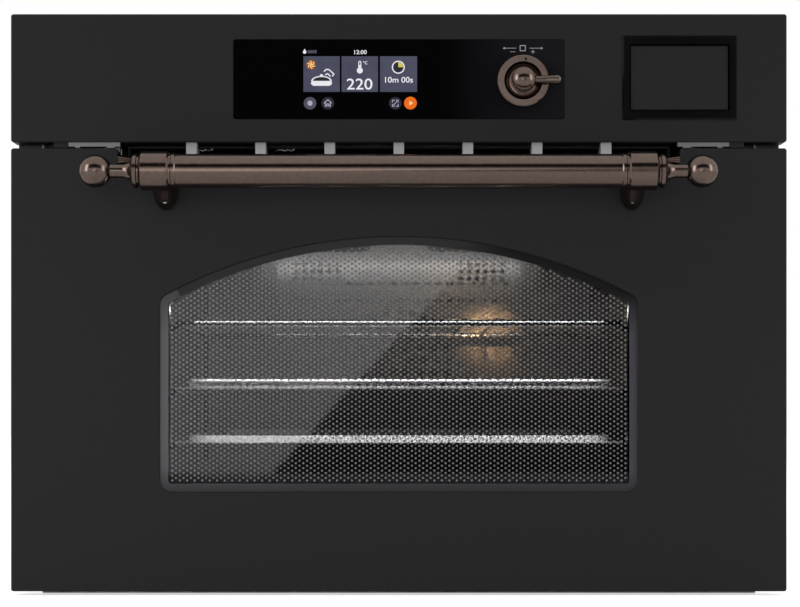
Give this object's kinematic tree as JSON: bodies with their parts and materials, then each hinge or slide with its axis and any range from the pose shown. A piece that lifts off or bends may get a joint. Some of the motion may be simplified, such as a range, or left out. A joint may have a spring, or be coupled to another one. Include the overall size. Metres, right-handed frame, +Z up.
{
  "type": "built-in oven",
  "caption": "Compact built-in steam oven with a drop-down door, arched window, bar handle with ball ends, lever knob, display glass and pull-out water tank.",
  "frame": {"origin": "middle of the niche's front edge: the plane of the cabinet's face, on the niche floor, half way along the width", "axes": "+X to the right seen from the front, +Y from the front to the back, +Z up"},
  "size_m": [0.595, 0.6282, 0.4458],
  "materials": {
    "base_plate": "galvanised sheet",
    "side_panels": "galvanised sheet",
    "top_cover": "galvanised sheet",
    "rear_cover": "galvanised sheet",
    "front_frame": "galvanised sheet",
    "mounting_flanges": "galvanised sheet",
    "hinge_units": "galvanised sheet",
    "cavity_shell": "satin stainless",
    "cavity_rear_wall": "satin stainless",
    "fan_baffle": "satin stainless",
    "shelf_ladders": "bright wire",
    "wire_rack": "bright wire",
    "vent_clips": "bright wire",
    "hinge_pins": "bright wire",
    "baking_tray": "satin",
    "steam_tray": "satin",
    "ring_heater": "oxidised tube",
    "grill_element": "oxidised tube",
    "bottom_heater": "oxidised tube",
    "convection_motor": "plated",
    "cooling_motor": "plated",
    "convection_fan": "pressed sheet",
    "cooling_impeller": "pressed sheet",
    "insulation_wrap": "glass wool blanket",
    "door_seal": "matte",
    "lamp_housing": "plated",
    "lamp_bulb": "clear",
    "lamp_lens": "clear",
    "vent_channel": "matte black",
    "tank_sleeve": "matte black",
    "cooling_duct": "matte black",
    "terminal_block": "matte black",
    "vent_ribs": "satin grey",
    "control_fascia": "matte charcoal enamel",
    "door_panel": "matte charcoal enamel",
    "tank_front": "matte charcoal enamel",
    "tank_bezel": "gloss black",
    "display_glass": "gloss",
    "window_glass": "gloss",
    "middle_glass": "gloss",
    "inner_glass": "gloss",
    "display_module": "screen",
    "control_board": "circuit board",
    "power_board": "circuit board",
    "encoder_shaft": "plated",
    "body_screws": "plated",
    "handle_screws": "plated",
    "handle_bar": "burnished bronze",
    "handle_ends": "burnished bronze",
    "handle_brackets": "burnished bronze",
    "knob": "burnished bronze",
    "water_tank": "grey",
    "tank_lid": "grey",
    "water_pump": "grey",
    "steam_generator": "cast",
    "water_hoses": "silicone",
    "door_frame": "matte black",
    "hinge_brackets": "plated",
    "glass_clips": "matte black"
  },
  "bodies": {
    "oven_body": {"base_plate": "base_plate", "side_panels": "side_panels", "top_cover": "top_cover", "rear_cover": "rear_cover", "front_frame": "front_frame", "mounting_flanges": "mounting_flanges", "hinge_units": "hinge_units", "cavity_shell": "cavity_shell", "cavity_rear_wall": "cavity_rear_wall", "fan_baffle": "fan_baffle", "shelf_ladders": "shelf_ladders", "vent_clips": "vent_clips", "ring_heater": "ring_heater", "grill_element": "grill_element", "bottom_heater": "bottom_heater", "convection_motor": "convection_motor", "cooling_motor": "cooling_motor", "insulation_wrap": "insulation_wrap", "door_seal": "door_seal", "lamp_housing": "lamp_housing", "lamp_bulb": "lamp_bulb", "lamp_lens": "lamp_lens", "vent_channel": "vent_channel", "tank_sleeve": "tank_sleeve", "cooling_duct": "cooling_duct", "terminal_block": "terminal_block", "vent_ribs": "vent_ribs", "control_fascia": "control_fascia", "tank_bezel": "tank_bezel", "display_glass": "display_glass", "display_module": "display_module", "control_board": "control_board", "power_board": "power_board", "body_screws": "body_screws", "water_pump": "water_pump", "steam_generator": "steam_generator", "water_hoses": "water_hoses"},
    "door": {"door_panel": "door_panel", "door_frame": "door_frame", "window_glass": "window_glass", "middle_glass": "middle_glass", "inner_glass": "inner_glass", "glass_clips": "glass_clips", "hinge_brackets": "hinge_brackets", "hinge_pins": "hinge_pins", "handle_bar": "handle_bar", "handle_ends": "handle_ends", "handle_brackets": "handle_brackets", "handle_screws": "handle_screws"},
    "encoder_shaft": {"encoder_shaft": "encoder_shaft"},
    "knob": {"knob": "knob"},
    "water_tank": {"tank_front": "tank_front", "water_tank": "water_tank", "tank_lid": "tank_lid"},
    "wire_rack": {"wire_rack": "wire_rack"},
    "baking_tray": {"baking_tray": "baking_tray"},
    "steam_tray": {"steam_tray": "steam_tray"},
    "convection_fan": {"convection_fan": "convection_fan"},
    "cooling_impeller": {"cooling_impeller": "cooling_impeller"}
  },
  "joints": [
    {"name": "door_hinge", "type": "hinge", "parent": "oven_body", "child": "door", "pos_m": [0, -0.012, 0.011], "axis": [1, 0, 0], "range_deg": [0, 90]},
    {"name": "knob_press", "type": "slide", "parent": "oven_body", "child": "encoder_shaft", "axis": [0, 1, 0], "range_m": [0, 0.0012], "stiffness_N_per_m": 1500},
    {"name": "knob_turn", "type": "hinge", "parent": "encoder_shaft", "child": "knob", "pos_m": [0.095, -0.031, 0.3935], "axis": [0, -1, 0], "range_deg": [-30, 30], "stiffness_Nm_per_rad": 0.3},
    {"name": "tank_slide", "type": "slide", "parent": "oven_body", "child": "water_tank", "axis": [0, -1, 0], "range_m": [-0.003, 0.25]},
    {"name": "wire_rack_slide", "type": "slide", "parent": "oven_body", "child": "wire_rack", "axis": [0, -1, 0], "range_m": [0, 0.03]},
    {"name": "baking_tray_slide", "type": "slide", "parent": "oven_body", "child": "baking_tray", "axis": [0, -1, 0], "range_m": [0, 0.03]},
    {"name": "steam_tray_slide", "type": "slide", "parent": "oven_body", "child": "steam_tray", "axis": [0, -1, 0], "range_m": [0, 0.03]},
    {"name": "convection_fan_spin", "type": "hinge", "parent": "oven_body", "child": "convection_fan", "pos_m": [0, 0.447, 0.188], "axis": [0, 1, 0], "continuous": true},
    {"name": "cooling_fan_spin", "type": "hinge", "parent": "oven_body", "child": "cooling_impeller", "pos_m": [0, 0.345, 0.36], "axis": [0, 0, 1], "continuous": true}
  ]
}
